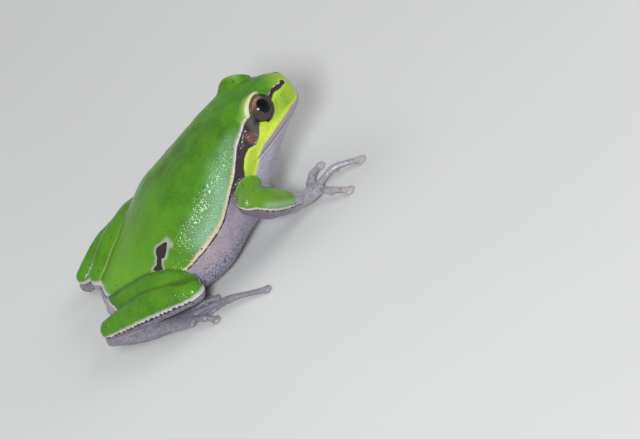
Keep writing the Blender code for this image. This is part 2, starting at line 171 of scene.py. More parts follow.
# A smooth value between rows: each stretch is the cubic through its ends that leaves along their neighbours' chord
def flowing(rows, positions):
    rows = np.asarray(rows, float)
    padded = np.vstack([2 * rows[0] - rows[1], rows, 2 * rows[-1] - rows[-2]])
    index = np.minimum(np.floor(positions).astype(int), len(rows) - 2)
    t = (positions - index)[:, None]
    a, b, c, d = (padded[index + k] for k in range(4))
    return b + 0.5 * t * (c - a + t * (2 * a - 5 * b + 4 * c - d + t * (3 * (b - c) + d - a)))


# Zero below the first value, one above the second, and an even S between them
def easing(low, high, value):
    t = np.clip((value - low) / (high - low), 0.0, 1.0)
    return t * t * (3 - 2 * t)


# A bell that is one at its middle: e to the power of -((value - middle) / width)^2
def bell(value, middle, width):
    return np.exp(-((value - middle) / width) ** 2)


# Even steps round a circle, in radians
def turns(count):
    return np.linspace(0, 2 * np.pi, count, endpoint=False)


# Each vector divided by its own length
def unit(vectors):
    return vectors / np.maximum(np.linalg.norm(vectors, axis=-1, keepdims=True), 1e-9)


# Cloudy values from -1 to 1: random numbers on a cubic lattice, blended by distance to the eight corners
def cloudy(points, size, seed):
    cell = points / size
    base = np.floor(cell)
    part = cell - base
    part = part * part * (3 - 2 * part)
    total = np.zeros(len(points))
    for corner in range(8):
        step = np.array([corner & 1, corner >> 1 & 1, corner >> 2 & 1])
        key = (base + step) @ np.array([127.1, 311.7, 74.7]) + seed * 19.19
        value = np.modf(np.abs(np.sin(key) * 43758.5453))[0] * 2 - 1
        total += value * np.prod(np.where(step, part, 1 - part), axis=1)
    return total


# Triangles between neighbouring rings, with a fan to a point at each end
def ringFaces(rings, around):
    first = np.arange(around)
    after = (first + 1) % around
    rows = np.arange(rings - 1)[:, None] * around
    a, b = (rows + first).ravel(), (rows + after).ravel()
    c, d = a + around, b + around
    start, end = rings * around, rings * around + 1
    last = (rings - 1) * around
    return np.concatenate([
        np.stack([a, b, d], 1), np.stack([a, d, c], 1),
        np.stack([after, first, np.full(around, start)], 1),
        np.stack([last + first, last + after, np.full(around, end)], 1),
    ])


# Rings of points as a closed surface: a fan to the mean of the first ring and of the last, turned to face outwards
def closedForm(rings):
    points = np.concatenate([rings.reshape(-1, 3), [rings[0].mean(0)], [rings[-1].mean(0)]])
    faces = ringFaces(len(rings), rings.shape[1])
    middle = points.mean(0)
    a, b, c = (points[faces[:, k]] - middle for k in range(3))
    volume = np.einsum("ij,ij->i", a, np.cross(b, c))
    return points, faces if volume.sum() > 0 else faces[:, ::-1]


# Head and trunk: each section is a rounded oval, |y/width|^n + |z/height|^n = 1, with its own n above and below
def bodyForm(along=220, around=160):
    rows = flowing(bodyRows, np.linspace(0, len(bodyRows) - 1, along))
    x, top, low, wide, middle, above, below = (column[:, None] for column in rows.T)
    turn = turns(around)[None, :]
    side, up = np.cos(turn), np.sin(turn)
    power = np.where(up > 0, 2 / above, 2 / below)
    rise = np.maximum(np.where(up > 0, top - middle, middle - low), 0.05)
    y = np.maximum(wide, 0.05) * np.sign(side) * np.abs(side) ** power
    z = middle + rise * np.sign(up) * np.abs(up) ** power
    return closedForm(np.stack([np.broadcast_to(x, y.shape), y, z], -1))


# A limb's smooth path: its centres, half sizes and heading, and the ways sideways and upwards across it
def limbPath(rows, along):
    rows = np.asarray(rows, float)
    path = flowing(rows, np.linspace(0, len(rows) - 1, along))
    heading = unit(np.gradient(path[:, :3], axis=0))
    side = unit(np.cross(heading, (0.0, 0.0, 1.0)))
    return path[:, :3], path[:, 3:], heading, side, np.cross(side, heading)


# A limb is rings of centre + side cos(turn) width + over sin(turn) thickness, which shrink at both ends as a half
# circle does
def limbForm(rows, along=60, around=48, caps=9):
    centre, size, heading, side, over = limbPath(rows, along)
    tilt = np.linspace(85, 5, caps)
    index = np.concatenate([np.zeros(caps, int), np.arange(along), np.full(caps, along - 1)])
    tilts = np.radians(np.concatenate([tilt, np.zeros(along), tilt[::-1]]))
    way = np.concatenate([-np.ones(caps), np.zeros(along), np.ones(caps)])
    shrink, reach = np.cos(tilts), np.sin(tilts) * way * size.min(axis=1)[index]
    turn = turns(around)
    middle = centre[index] + heading[index] * reach[:, None]
    across = side[index] * (size[index, 0] * shrink)[:, None]
    upward = over[index] * (size[index, 1] * shrink)[:, None]
    cos, sin = np.cos(turn)[None, :, None], np.sin(turn)[None, :, None]
    return closedForm(middle[:, None] + across[:, None] * cos + upward[:, None] * sin)


# An ellipsoid: centre + sizes times (sin t cos u, sin t sin u, cos t)
def ballForm(centre, sizes, along=24, around=32):
    tilt = np.linspace(0.06, np.pi - 0.06, along)[:, None]
    turn = turns(around)[None, :]
    shell = np.stack([np.sin(tilt) * np.cos(turn), np.sin(tilt) * np.sin(turn), np.cos(tilt) + 0 * turn], -1)
    return closedForm(np.asarray(centre) + shell * np.asarray(sizes))


# The skin between two toes: straight lines from toe to toe, sagging inwards at the free edge, with two sides
def webForm(first, second, reach, thickness=0.34, along=14, across=10):
    u = np.linspace(0.0, reach, along)
    a, b = flowing(first, u), flowing(second, u)
    s = np.linspace(0, 1, across)
    sag = 1 - 0.30 * (4 * s * (1 - s))[None, :] * np.linspace(0, 1, along)[:, None]
    root = (a[0] + b[0]) / 2
    sheet = a[:, None] * (1 - s)[None, :, None] + b[:, None] * s[None, :, None]
    sheet = root + (sheet - root) * sag[..., None]
    sheet[..., 2] = np.minimum(sheet[..., 2], 0.7) * 0.75
    top, low = sheet + (0, 0, thickness / 2), sheet - (0, 0, thickness / 2)
    return closedForm(np.concatenate([top, low[:, ::-1]], axis=1))


# Several forms as one list of points and faces
def joined(forms):
    shift, points, faces = 0, [], []
    for p, f in forms:
        points.append(p)
        faces.append(f + shift)
        shift += len(p)
    return np.concatenate(points), np.concatenate(faces)


# Meshes

# An object with its data, in the scene
def addObject(name, data):
    obj = bpy.data.objects.new(name, data)
    bpy.context.scene.collection.objects.link(obj)
    return obj


# A mesh from an array of points and an array of triangles
def meshFrom(name, points, faces):
    mesh = bpy.data.meshes.new(name)
    mesh.vertices.add(len(points))
    mesh.vertices.foreach_set("co", np.ascontiguousarray(points, np.float32).ravel())
    mesh.loops.add(faces.size)
    mesh.loops.foreach_set("vertex_index", np.ascontiguousarray(faces, np.int32).ravel())
    mesh.polygons.add(len(faces))
    mesh.polygons.foreach_set("loop_start", np.arange(len(faces), dtype=np.int32) * 3)
    mesh.update(calc_edges=True)
    mesh.validate()
    return mesh


# The points, triangles and edges of a mesh
def arraysFrom(mesh):
    mesh.calc_loop_triangles()
    points = np.empty(len(mesh.vertices) * 3, np.float32)
    mesh.vertices.foreach_get("co", points)
    faces = np.empty(len(mesh.loop_triangles) * 3, np.int32)
    mesh.loop_triangles.foreach_get("vertices", faces)
    edges = np.empty(len(mesh.edges) * 2, np.int32)
    mesh.edges.foreach_get("vertices", edges)
    return points.reshape(-1, 3).astype(float), faces.reshape(-1, 3), edges.reshape(-1, 2)


# Melts overlapping closed forms into one surface with even squares of the given size, in millimetres
def melted(forms, voxel):
    mesh = meshFrom("melting", *joined(forms))
    obj = addObject("melting", mesh)
    remesh = obj.modifiers.new("remesh", "REMESH")
    remesh.mode = "VOXEL"
    remesh.voxel_size = voxel
    graph = bpy.context.evaluated_depsgraph_get()
    result = bpy.data.meshes.new_from_object(obj.evaluated_get(graph))
    arrays = arraysFrom(result)
    bpy.data.objects.remove(obj)
    bpy.data.meshes.remove(mesh)
    bpy.data.meshes.remove(result)
    return arrays


# Halves the squares wherever the mask is set, for finer detail there
def finer(points, faces, mask):
    mesh = meshFrom("finer", points, faces)
    edit = bmesh.new()
    edit.from_mesh(mesh)
    edit.verts.ensure_lookup_table()
    chosen = [edge for edge in edit.edges if mask[edge.verts[0].index] and mask[edge.verts[1].index]]
    bmesh.ops.subdivide_edges(edit, edges=chosen, cuts=1, use_grid_fill=True)
    bmesh.ops.triangulate(edit, faces=edit.faces)
    edit.to_mesh(mesh)
    edit.free()
    arrays = arraysFrom(mesh)
    bpy.data.meshes.remove(mesh)
    return arrays


# Moves each point towards the mean of its neighbours, by its own weight, a number of times
def relaxed(points, edges, weight, times, firm=0.0):
    count = len(points)
    a, b = edges.T
    near = np.maximum(np.bincount(a, minlength=count) + np.bincount(b, minlength=count), 1)
    for _ in range(times):
        for share in ((weight, -firm * weight) if firm else (weight,)):
            mean = np.stack([
                np.bincount(a, points[b, k], count) + np.bincount(b, points[a, k], count) for k in range(3)
            ], 1) / near[:, None]
            points = points + (mean - points) * np.reshape(share, (-1, 1) if np.ndim(share) else ())
    return points


# At each point the sum of its triangles' cross products, made one long
def normalsOf(points, faces):
    face = np.cross(points[faces[:, 1]] - points[faces[:, 0]], points[faces[:, 2]] - points[faces[:, 0]])
    total = np.stack([
        sum(np.bincount(faces[:, k], face[:, axis], len(points)) for k in range(3)) for axis in range(3)
    ], 1)
    return unit(total)


# Puts a form into the scene at its place in the frame, smooth, with a number per point for each marking
def addPiece(name, points, faces, values=None):
    mesh = meshFrom(name, (points + ventInFrame) * mm, faces)
    mesh.polygons.foreach_set("use_smooth", np.ones(len(mesh.polygons), bool))
    for label, numbers in (values or {}).items():
        layer = mesh.attributes.new(label, "FLOAT", "POINT")
        layer.data.foreach_set("value", np.ascontiguousarray(numbers, np.float32))
    return addObject(name, mesh)


# Where a point lies on the body

bodyTable = flowing(bodyRows, np.linspace(0, len(bodyRows) - 1, 400))


# How far a point stands out of the body's sections, in millimetres: (oval value - 1) times the smaller half size
def bodyDepth(points):
    x, y, z = points.T
    top, low, wide, middle, above, below = (np.interp(x, bodyTable[:, 0], bodyTable[:, k]) for k in range(1, 7))
    over = z > middle
    power = np.where(over, above, below)
    rise = np.maximum(np.where(over, top - middle, middle - low), 0.2)
    wide = np.maximum(wide, 0.2)
    value = (np.abs(y / wide) ** power + np.abs((z - middle) / rise) ** power) ** (1 / power)
    past = np.maximum(bodyTable[0, 0] - x, x - bodyTable[-1, 0])
    return np.maximum((value - 1) * np.minimum(wide, rise), past)


# Length along a limb, the direction out of its axis, and how far a point stands out of it
def limbPlace(points, rows):
    steps = 70
    centre, size, heading = limbPath(rows, steps)[:3]
    length = np.concatenate([[0], np.cumsum(np.linalg.norm(np.diff(centre, axis=0), axis=1))])
    low, high = centre.min(0) - 4.5, centre.max(0) + 4.5
    inside = ((points > low) & (points < high)).all(1)
    along, depth = np.zeros(len(points)), np.full(len(points), 9.0)
    out = np.zeros((len(points), 3))
    near = points[inside]
    gap = np.linalg.norm(near[:, None] - centre[None], axis=2)
    k = gap.argmin(1)
    away = near - centre[k]
    away -= heading[k] * np.einsum("ij,ij->i", away, heading[k])[:, None] * ((k > 0) & (k < steps - 1))[:, None]
    along[inside] = length[k]
    out[inside] = unit(away)
    depth[inside] = gap.min(1) - size[k].mean(1)
    return along, out, depth


# The skin as one form

# A point of the left side, or its mirror image when the side is -1
def mirrored(point, side):
    return np.array([point[0], point[1] * side, point[2]])


# The left eye sits a little further back, out and up than a mirror image of the right one
def eyePoint(label, side):
    return mirrored(eyeSizes[label], side) + (np.array(eyeSizes["leftShift"]) if side > 0 else 0)


# The eye's frame: the ring's axis, the opening's long way and its short way
def eyeFrame(side):
    axis = unit(mirrored(eyeSizes["ringAxis"], side))
    long = mirrored(eyeSizes["longWay"], side)
    long = unit(long - long @ axis * axis)
    return axis, long, np.cross(axis, long)


# The opening is an ellipse, r = a b / sqrt((b cos)^2 + (a sin)^2), seen as an angle from the eye's centre
def rimAngle(along, across):
    a, b = eyeSizes["opening"]
    size = np.maximum(np.hypot(along, across), 1e-9)
    half = a * b / np.hypot(b * along / size, a * across / size)
    return np.arcsin(half / (eyeSizes["radius"] + 0.12))


# Tilt of each point from the ring's axis, the rim's tilt in its direction, and its distance from the eye's centre
def eyePlace(points, side):
    axis, long, short = eyeFrame(side)
    away = points - eyePoint("centre", side)
    reach = np.maximum(np.linalg.norm(away, axis=1), 1e-6)
    tilt = np.arccos(np.clip(away @ axis / reach, -1, 1))
    return away, reach, tilt, rimAngle(away @ long, away @ short)


# The height of the mouth's line at a length x: straight stretches between the rows
def mouthHeight(x):
    return np.interp(x, *np.array(headSizes["mouth"]).T)


# Eyelids: near each eye a point's distance from the eye's centre is held between a rim just over the eyeball and the
# dome outside it, and inside the opening it drops under the eyeball
def shapeLids(points):
    radius = eyeSizes["radius"]
    for side in (-1, 1):
        away, reach, tilt, rim = eyePlace(points, side)
        axis = eyeFrame(side)[0]
        around = unit(away - (away @ axis)[:, None] * axis)
        hood = (0.32 - 0.06 * side) * easing(-0.3, 0.6, around @ unit(np.array([-0.25, -0.5 * side, 0.8])))
        near = reach < 3.9
        outside = easing(rim - 0.05, rim + 0.09, tilt)
        fade = 1 - easing(rim + 0.25, rim + 0.75, tilt)
        highest = radius + 0.20 + hood + 1.5 * np.maximum(tilt - rim, 0)
        held = np.clip(reach, radius + 0.12 + (0.04 + hood) * fade, highest)
        target = (radius - 0.35) * (1 - outside) + held * outside
        points = np.where(near[:, None], points + away * (target / reach - 1)[:, None], points)
    return points


# Eardrum, nostrils, mouth and folds, each pushed along the surface's own normal
def shapeHead(points):
    x, y, z = points.T
    push = np.zeros(len(points))
    front = easing(29.0, 31.5, x)
    gap = z - mouthHeight(x)
    push -= headSizes["lipGroove"] * bell(gap, -0.02, 0.13) * front
    push += 0.10 * bell(gap, 0.42, 0.28) * front
    push -= headSizes["jawStep"] * (1 - easing(-0.25, 0.05, gap)) * easing(29.0, 32.0, x)
    push += 0.12 * bell(gap, -0.45, 0.25) * front
    for side in (-1, 1):
        toPit = np.linalg.norm(points - mirrored(headSizes["nostril"], side), axis=1)
        push += -headSizes["nostrilPit"] * bell(toPit, 0, 0.26) + 0.10 * bell(toPit, 0.52, 0.2)
        toDrum = np.linalg.norm(points - mirrored(headSizes["drum"], side), axis=1)
        radius = headSizes["drumRadius"]
        push += -0.10 * (1 - easing(radius * 0.75, radius, toDrum)) + 0.09 * bell(toDrum, radius * 1.08, 0.16)
    # The fold that runs from the eye over the eardrum to the shoulder
    fold = (z - np.interp(x, foldLine[:, 0], foldLine[:, 1])) * easing(24.5, 26.5, x)
    push += 0.20 * bell(fold, 0.15, 0.35) * easing(25.0, 27.0, x) * (1 - easing(32.6, 33.6, x)) * (np.abs(y) > 3)
    return push


foldLine = np.array([
    (24.0, 10.9), (25.6, 12.1), (26.4, 12.7), (27.0, 13.3), (28.1, 14.5), (29.0, 15.5), (29.7, 16.1), (30.6, 16.65),
    (31.2, 17.0), (31.9, 17.4), (33.4, 17.8),
])

# Skin markings, with the painted sheen and painted shade that go with them

# Side view lines as length and height, the same on both sides: lower edge of the green back, and the two edges of the
# dark band from nostril to shoulder
greenEdge = np.array([
    (-2.0, 5.2), (0.0, 5.2), (4.0, 5.4), (9.0, 6.0), (13.1, 6.56), (14.0, 6.74), (15.6, 7.12), (17.0, 7.45),
    (18.7, 7.95), (20.2, 8.35), (21.6, 8.95), (23.3, 10.2), (25.2, 11.7), (26.4, 12.65), (27.0, 13.25),
    (28.1, 14.45), (29.0, 15.5), (29.7, 16.1), (30.6, 16.65), (31.2, 17.0), (31.9, 17.4), (33.5, 17.72),
    (34.6, 17.6), (35.2, 16.6), (36.2, 16.6), (36.7, 17.2), (37.1, 17.5), (37.8, 17.48), (38.6, 17.42),
    (39.35, 17.2), (39.75, 17.05), (41.5, 17.0),
])
bandEdge = np.array([
    (-2.0, 5.1), (0.0, 5.1), (4.0, 5.3), (9.0, 5.9), (13.1, 6.45), (15.6, 6.98), (18.7, 7.75), (21.6, 8.75),
    (23.3, 10.02), (24.4, 10.8), (25.1, 11.15), (25.7, 10.95), (26.6, 10.95), (27.5, 11.3), (27.9, 12.15),
    (28.4, 13.0), (28.7, 13.36), (29.2, 13.98), (30.0, 14.58), (30.6, 14.9), (31.1, 14.8), (31.85, 14.7),
    (32.8, 15.3), (33.3, 15.7), (33.6, 15.88), (34.1, 16.0), (34.8, 16.3), (35.2, 17.2), (36.2, 17.2),
    (36.5, 16.78), (37.1, 16.98), (37.6, 17.1), (38.3, 17.12), (39.0, 17.0), (39.7, 16.85), (41.5, 16.9),
])
lipEdge = np.array([
    (27.0, 9.4), (28.4, 10.3), (29.2, 10.8), (30.2, 11.5), (31.0, 12.45), (31.7, 13.2), (32.6, 13.65),
    (33.5, 13.82), (34.5, 13.96), (36.5, 14.01), (37.6, 14.2), (38.6, 14.22), (39.3, 14.05), (39.9, 13.96),
    (41.5, 13.9),
])
creamRows = np.array([
    (-2.0, 0.65), (4.0, 0.6), (13.0, 0.6), (15.0, 0.75), (17.0, 0.95), (21.0, 0.9), (24.0, 0.72), (28.0, 0.62),
    (31.0, 0.5), (34.0, 0.3), (35.0, 0.12), (41.0, 0.12),
])

# Dark spots on the hind back and the pale skin round them: two ends and two radii of each
spotRows = (
    ((12.7, -8.35, 10.65), (11.45, -8.2, 9.9), 0.32, 0.98),
    ((10.9, -8.3, 9.4), (10.2, -8.6, 8.75), 0.42, 0.38),
    ((10.1, -8.75, 8.6), (9.6, -9.05, 8.4), 0.42, 1.05),
    ((11.6, 8.7, 10.2), (10.9, 9.0, 9.6), 0.35, 0.60),
    ((10.4, 9.3, 9.1), (9.2, 9.7, 8.1), 0.30, 0.70),
    ((16.62, -10.66, 7.88), (16.55, -10.66, 7.82), 0.15, 0.15),
    ((14.27, -7.21, 12.31), (14.3, -7.2, 12.3), 0.12, 0.12),
    ((21.6, 0.55, 16.4), (21.7, 0.5, 16.4), 0.09, 0.09),
    ((21.6, -0.8, 16.45), (21.75, -0.9, 16.5), 0.08, 0.08),
)
haloRows = spotRows[:5] + (((13.2, -8.3, 11.0), (13.2, -8.9, 10.5), 0.05, 0.12),)

# The pale line where the back meets the left leg
ridgeLine = np.array([
    (11.18, 4.11, 11.76), (9.82, 4.1, 10.9), (8.57, 3.71, 10.25), (6.36, 3.38, 9.0), (5.0, 3.11, 8.35),
    (4.07, 2.59, 8.02), (2.44, 1.7, 7.22), (1.38, 1.28, 6.76), (0.45, 1.0, 6.24),
])

# Where a limb is green: the direction in the middle of the green, and how far round it reaches, in degrees
limbGreen = {
    "upperArmRight": ((0.15, -0.45, 0.88), 105),
    "forearmRight": ((0.53, -0.03, 0.85), 92),
    "upperArmLeft": ((0.15, 0.45, 0.88), 130),
    "forearmLeft": ((0.53, 0.3, 0.80), 92),
    "thighRight": ((-0.1, -0.35, 0.93), 100),
    "thighLeft": ((-0.1, 0.35, 0.93), 115),
    "shankRight": ((0.0, 0.25, 0.97), 109),
    "shankLeft": ((0.0, -0.45, 0.90), 121),
}


# How far a point lies above a side view line: the height over it divided by sqrt(1 + slope^2)
def lineGap(points, line):
    slope = np.gradient(line[:, 1], line[:, 0])
    height = np.interp(points[:, 0], line[:, 0], line[:, 1])
    lean = np.interp(points[:, 0], line[:, 0], slope)
    return (points[:, 2] - height) / np.sqrt(1 + lean * lean)


# The distance to a stretch from a to b, and how far along it the nearest point lies, from 0 to 1
def toSegment(points, a, b):
    a, b = np.asarray(a), np.asarray(b)
    t = np.clip((points - a) @ (b - a) / ((b - a) @ (b - a)), 0, 1)
    return np.linalg.norm(points - a - t[:, None] * (b - a), axis=1), t


# How deep a point lies in spots: each runs between two ends with a radius of their own, grown by the same amount
def spotDepth(points, rows, grow):
    depth = np.full(len(points), -3.0)
    for a, b, first, last in rows:
        away, t = toSegment(points, a, b)
        depth = np.maximum(depth, first + (last - first) * t + grow - away)
    return depth


# Every marking as a signed depth in millimetres, above zero inside it, so that the material can draw its edge
# sharply, together with the shares of painted sheen and painted shade
def markingsAndPaintedLight(points):
    x, y, z = points.T
    level = np.stack([x, np.abs(y), z], 1)
    # Before the left eye the stripe is moved with that eye
    share = easing(0.5, 1.5, y) * easing(32.0, 34.0, x) * (1 - easing(36.0, 39.0, x))
    moved = points - share[:, None] * np.array(eyeSizes["leftShift"]) * (1, 0, 1)
    aboveEdge = lineGap(moved, greenEdge)
    aboveBand = lineGap(moved, bandEdge)
    aboveLip = lineGap(points, lipEdge)
    gap = z - mouthHeight(x)
    cheek = np.where(x > 27.0, np.minimum(-aboveBand, aboveLip), -3.0)
    green = np.maximum(np.minimum(aboveEdge, x - 0.1), cheek)
    green = np.maximum(green, np.where(z > 13.5, (x - 39.75) * 2, -3.0))
    band = np.minimum(np.minimum(-aboveEdge, aboveBand), (39.9 - x) * 2)
    inCheek = easing(-0.4, 0.3, cheek) * easing(27.0, 28.5, x)
    rimmed = 1 - easing(0.15, 0.75, cheek)
    belowEye = bell(x, 33.2, 2.0)
    yellow = inCheek * np.clip(0.60 + 0.35 * belowEye + 0.4 * rimmed - 0.32 * easing(36.0, 39.0, x), 0, 1)
    yellow = np.maximum(yellow, 0.55 * easing(37.0, 40.2, x) * (z > 13.5))
    yellow = np.maximum(yellow, 0.8 * easing(28.0, 30.0, x) * (1 - easing(0.2, 1.1, aboveLip)) * (aboveLip > -0.3))
    bright = 1 - easing(2.0, 20.0, x)
    nostril = np.linalg.norm(level - np.array(headSizes["nostril"]), axis=1)
    band = np.maximum(band + 0.05, 0.42 - nostril)
    green = np.where(nostril < 1.0, np.minimum(green, nostril - 0.42), green)
    lip = np.where(x > 30.3, np.minimum(-aboveLip, gap), -3.0)
    mouth = np.where(x > 30.6, 0.07 - np.abs(gap + 0.02), -3.0)
    drum = headSizes["drumRadius"] * 0.95 - np.linalg.norm(level - np.array(headSizes["drum"]), axis=1)
    patch = easing(32.0, 32.8, x) * (1 - easing(35.5, 36.5, x))
    creamWidth = np.interp(x, creamRows[:, 0], creamRows[:, 1])
    byLip = easing(-0.3, 0.3, -aboveBand - aboveLip)
    creamWidth = np.where(aboveEdge < -0.3, 0.04 + 0.13 * byLip * (1 - easing(34.0, 36.0, x)), creamWidth)
    lidGap = np.full(len(points), 9.0)
    lidBack = np.zeros(len(points))
    for side in (-1, 1):
        away, reach, tilt, rim = eyePlace(points, side)
        back = unit(away) @ unit(np.array([-0.62, 0.0, 0.5]))
        mine = (reach < 2.6 + 1.4 * easing(-0.1, 0.2, back)) & (y * side > 0)
        fromRim = (tilt - rim) * eyeSizes["radius"] + (0.25 if side > 0 else 0.0)
        close = reach < 2.6 + 0.5 * easing(0.1, 0.4, back)
        lidGap = np.where(mine, np.where(close, fromRim, np.maximum(fromRim, 0.3)), lidGap)
        lidBack = np.where(mine, back, lidBack)
    owner = bodyDepth(points)
    foldLine = 5.45 - 1.7 * easing(0.2, 6.0, x)
    depths = [owner]
    pressed = np.zeros(len(points))
    digit, sheens, under = (np.zeros(len(points)) for _ in range(3))
    white = np.maximum(easing(26.0, 28.0, x), 1 - easing(0.0, 2.5, x))
    for name, (middle, reach) in limbGreen.items():
        along, out, depth = limbPlace(points, limbRows[name])
        depths.append(depth)
        if name in ("thighLeft", "shankLeft"):
            pressed = np.maximum(pressed, np.abs(depth))
        border = (owner - depth) * 3
        mine = border > 0
        owner = np.where(mine, depth, owner)
        angle = np.degrees(np.arccos(np.clip(out @ unit(np.array(middle)), -1, 1)))
        edge = (reach - angle) * np.pi / 180 * 2.0
        width, notch, line = 0.02, 0.0, 0.0
        if name == "shankLeft":
            edge = edge + 0.9 * easing(9.5, 12.0, x)
        if name.startswith("shank"):
            edge = np.minimum(edge, np.where(x < 0, z - 2.75, edge))
            width, notch, line = 0.80 + 0.25 * easing(9.5, 12.0, x), 0.38, 0.16
            # painted shadow on the pale skin just under the shank's fringe
            under = np.where(mine, 0.85 * bell(edge, -0.45, 0.5), under)
        if name.startswith("forearm"):
            digit = np.where(mine, easing(6.2, 8.9, along), digit)
            inner = easing(0.1, 0.6, out[:, 1] * (1 if name.endswith("Right") else -1))
            edge = edge + 1.5 * inner * (1 - easing(2.0, 3.5, along))
            width, notch, line = 0.42, 0.12, 0.12
        if name == "thighRight":
            edge = np.minimum(edge, x - 0.1 - 0.3 * np.maximum(0, np.abs(y) - 4.4))
            width = 0.3
        if name == "thighLeft":
            edge = np.minimum(edge, z - foldLine)
            width = 0.2 + 0.7 * (1 - easing(0.3, 3.0, x))
        if name.startswith("upper") or name.endswith("Left"):
            lower = (green < 0) & (edge > 0)
            edge = np.where(lower, np.minimum(edge, border), edge)
            green = np.where(lower & ~mine, np.maximum(green, border), green)
            band = np.where(~mine, np.minimum(band, -border), band)
        green = np.where(mine, edge, green)
        isLeg = name[:5] in ("thigh", "shank")
        yellow = np.where(mine, 0.0 if isLeg else 0.08, yellow)
        bright = np.where(mine, 0.12, bright)
        creamWidth = np.where(mine, width, creamWidth)
        band = np.where(mine, np.where(band > 0, np.maximum(-3.0, -border), -3.0), band)
        lip, mouth, drum = (np.where(mine, -3.0, value) for value in (lip, mouth, drum))
        white = np.where(mine, 1.0, white)
        if notch:
            wave = np.abs(np.sin(along * np.pi / 0.80 + 0.5 * np.sin(along * 1.3)))
            teeth = notch * (0.8 + 0.2 * np.sin(along * 2.9)) * wave ** 1.5 - edge
            band = np.where(mine, np.minimum(teeth, edge + line), band)
        if name.startswith("forearm"):
            # On the forearms a painted sheen: pale bluish green along the lower part of the green
            sheens = np.where(mine, 0.65 * bell(edge, 0.75, 0.45) * easing(0.8, 2.0, along), sheens)
            # painted shade on the forearm's pale underside
            under = np.where(mine, 0.9, under)
    for name in ("tarsusRight", "tarsusLeft"):
        mine = limbPlace(points, limbRows[name])[2] < owner
        green, band = (np.where(mine, -3.0, value) for value in (green, band))
        digit = np.where(mine, 1.0, digit)
    offLimb = (np.min(depths[1:], axis=0) - depths[0]) * 3
    spot = np.minimum(spotDepth(points, spotRows, 0.0), offLimb)
    halo = np.minimum(spotDepth(points, haloRows, 0.36), offLimb)
    throat = easing(26.0, 29.0, x) * (1 - easing(0.0, 0.4, gap))
    onFlank = (owner > -3.0) * easing(1.0, 4.0, x) * (1 - easing(26.0, 28.0, x))
    pink = bell(x, 17.5, 3.0) * easing(-3.6, -2.6, aboveEdge)
    # Painted shade: darker under the shanks' fringes, on the forearms' undersides, and on the flank between the dark
    # band and the upper arm
    underShade = np.maximum(under, bell(x, 25.2, 1.7) * easing(-2.2, -0.8, aboveEdge))
    dull = (x < 20) * digit
    granule = onFlank * (1 - easing(3.0, 6.6, z)) + 0.35 * throat
    toRidge = np.full(len(points), 9.0)
    for a, b in zip(ridgeLine, ridgeLine[1:]):
        toRidge = np.minimum(toRidge, toSegment(points, a, b)[0])
    ridge = 0.11 - toRidge - 0.25 * easing(8.5, 11.0, x)
    inward = np.interp(x, ridgeLine[::-1, 0], ridgeLine[::-1, 1]) - y
    crease = np.minimum(1.1 - pressed, np.minimum(z - foldLine, 1.5 * (12.0 - x))) * 3
    # Painted shade: darker beside the pale ridge line on the body's side, and in the creases between the right hind
    # leg and the body; a darker mottled streak along the back is added to the same share
    shadeAndStreak = 0.8 * bell(toRidge, 0.5, 0.35) * (inward > 0) * (1 - easing(8.5, 11.0, x))
    depths = np.sort(np.abs(depths), axis=0)
    green = np.maximum(green, np.minimum(crease, 1.3))
    shadeAndStreak = np.maximum(shadeAndStreak, bell(depths[1], depths[0], 0.22) * (depths[1] < 0.8) * (x < 20) * (y < 0))
    streak = bell(y - 0.6 * cloudy(points, 4.0, 8), 1.5, 0.45) * easing(9.0, 12.0, x) * (1 - easing(20.0, 23.0, x))
    shadeAndStreak = np.maximum(shadeAndStreak, 0.6 * streak * np.clip(0.4 + cloudy(points, 1.1, 7), 0, 1) * (z > 8))
    belly = 1 - easing(0.4, 2.2, z)
    # Painted sheen: how much pale bluish green is laid into the green just above its lower edge on the flank, as a
    # painted highlight where the key light glances; the same share also raises the pebbles' relief there
    sheen = bell(aboveEdge, 1.2, 1.8) * easing(14.0, 18.0, x) * (1 - 0.6 * easing(23.0, 27.0, x))
    sheen = sheen * (1 - easing(29.0, 32.0, x))
    sideways = easing(4.2, 6.0, np.abs(y))
    sheen = sheen * (sideways + (1 - sideways) * (1 - easing(22.0, 25.0, x)))
    pebble = 0.38 + 0.35 * bell(aboveEdge, 1.0, 3.0) * (1 - easing(29.0, 31.0, x)) + 1.2 * sheen
    sheen = np.maximum(sheen * (digit == 0), sheens)
    return dict(
        green=green, band=band, lip=lip, mouth=mouth, drum=drum, spot=spot, halo=halo, patch=patch,
        creamWidth=creamWidth, yellow=yellow, bright=bright, throat=throat, white=white, pink=pink, underShade=underShade,
        granule=granule, ridge=ridge, shadeAndStreak=shadeAndStreak, belly=belly, pebble=pebble, sheen=sheen, digit=digit, dull=dull,
        lidGap=lidGap, lidBack=lidBack,
    )


